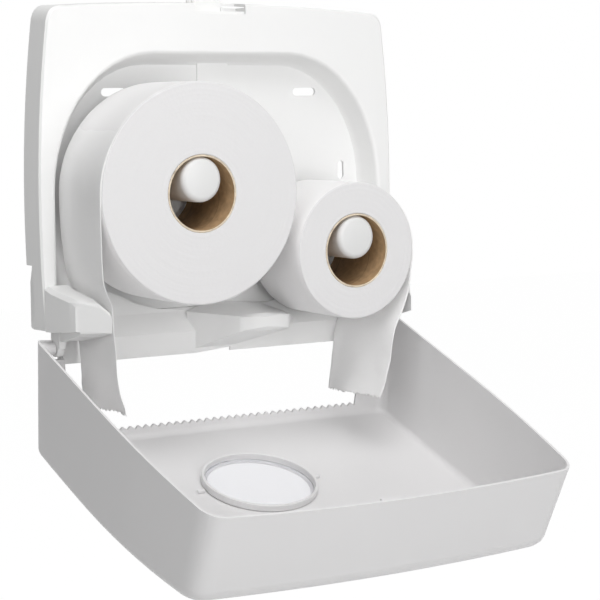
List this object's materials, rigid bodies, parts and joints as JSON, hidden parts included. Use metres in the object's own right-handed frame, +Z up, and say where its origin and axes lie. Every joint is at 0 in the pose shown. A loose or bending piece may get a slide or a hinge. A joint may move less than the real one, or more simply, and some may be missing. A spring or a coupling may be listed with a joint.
{
  "type": "toilet roll dispenser",
  "caption": "Wall-mounted twin toilet roll dispenser with a hinged drop-down cover, tear edge and window, loaded with a large and a small roll.",
  "frame": {"origin": "middle of the flat back of the plate, on the wall plane", "axes": "+X to the right seen from the front, +Y into the wall, +Z up; the cover is open and hangs towards -Y"},
  "size_m": [0.45, 0.3722, 0.5697],
  "materials": {
    "base_plastic": "satin moulded white plastic",
    "post_plastic": "satin moulded white plastic",
    "latch_plastic": "satin off-white plastic",
    "cover_plastic": "satin moulded white plastic",
    "window_plastic": "clear plastic, polished",
    "tissue": "soft white tissue",
    "core_card": "plain brown card",
    "spring_steel": "drawn wire",
    "pin_steel": "drawn bar",
    "screw_steel": "zinc plated"
  },
  "bodies": {
    "root": {"back_plate": "base_plastic", "paper_guide": "base_plastic", "left_guide_arm": "base_plastic", "right_guide_arm": "base_plastic", "left_post": "post_plastic", "right_post": "post_plastic", "latch_housing": "base_plastic", "latch_spring": "spring_steel", "left_hinge_pin": "pin_steel", "right_hinge_pin": "pin_steel", "left_tail": "tissue", "right_tail": "tissue", "post_screw_1": "screw_steel", "post_screw_2": "screw_steel", "post_screw_3": "screw_steel", "post_screw_4": "screw_steel", "post_screw_5": "screw_steel", "post_screw_6": "screw_steel", "arm_screw_1": "screw_steel", "arm_screw_2": "screw_steel", "arm_screw_3": "screw_steel", "arm_screw_4": "screw_steel", "guide_screw_1": "screw_steel", "guide_screw_2": "screw_steel"},
    "cover": {"cover_shell": "cover_plastic", "window_ring": "cover_plastic", "window_pane": "window_plastic"},
    "left_roll_body": {"left_roll": "tissue", "left_core": "core_card"},
    "right_roll_body": {"right_roll": "tissue", "right_core": "core_card"},
    "latch_body": {"latch": "latch_plastic"}
  },
  "joints": [
    {"name": "cover_hinge", "type": "hinge", "parent": "root", "child": "cover", "pos_m": [0, -0.0237, -0.171], "axis": [-1, 0, 0], "range_deg": [0, 110.7], "deforming": ["left_tail", "right_tail"]},
    {"name": "left_roll_spin", "type": "hinge", "parent": "root", "child": "left_roll_body", "pos_m": [-0.07651, -0.06625, -0.0114], "axis": [0, 1, 0], "continuous": true},
    {"name": "right_roll_spin", "type": "hinge", "parent": "root", "child": "right_roll_body", "pos_m": [0.11402, -0.06625, -0.0785], "axis": [0, 1, 0], "continuous": true},
    {"name": "latch_press", "type": "slide", "parent": "root", "child": "latch_body", "axis": [0, 0, -1], "range_m": [0, 0.005], "stiffness_N_per_m": 300, "springref_m": -0.002, "deforming": ["latch_spring"]}
  ]
}
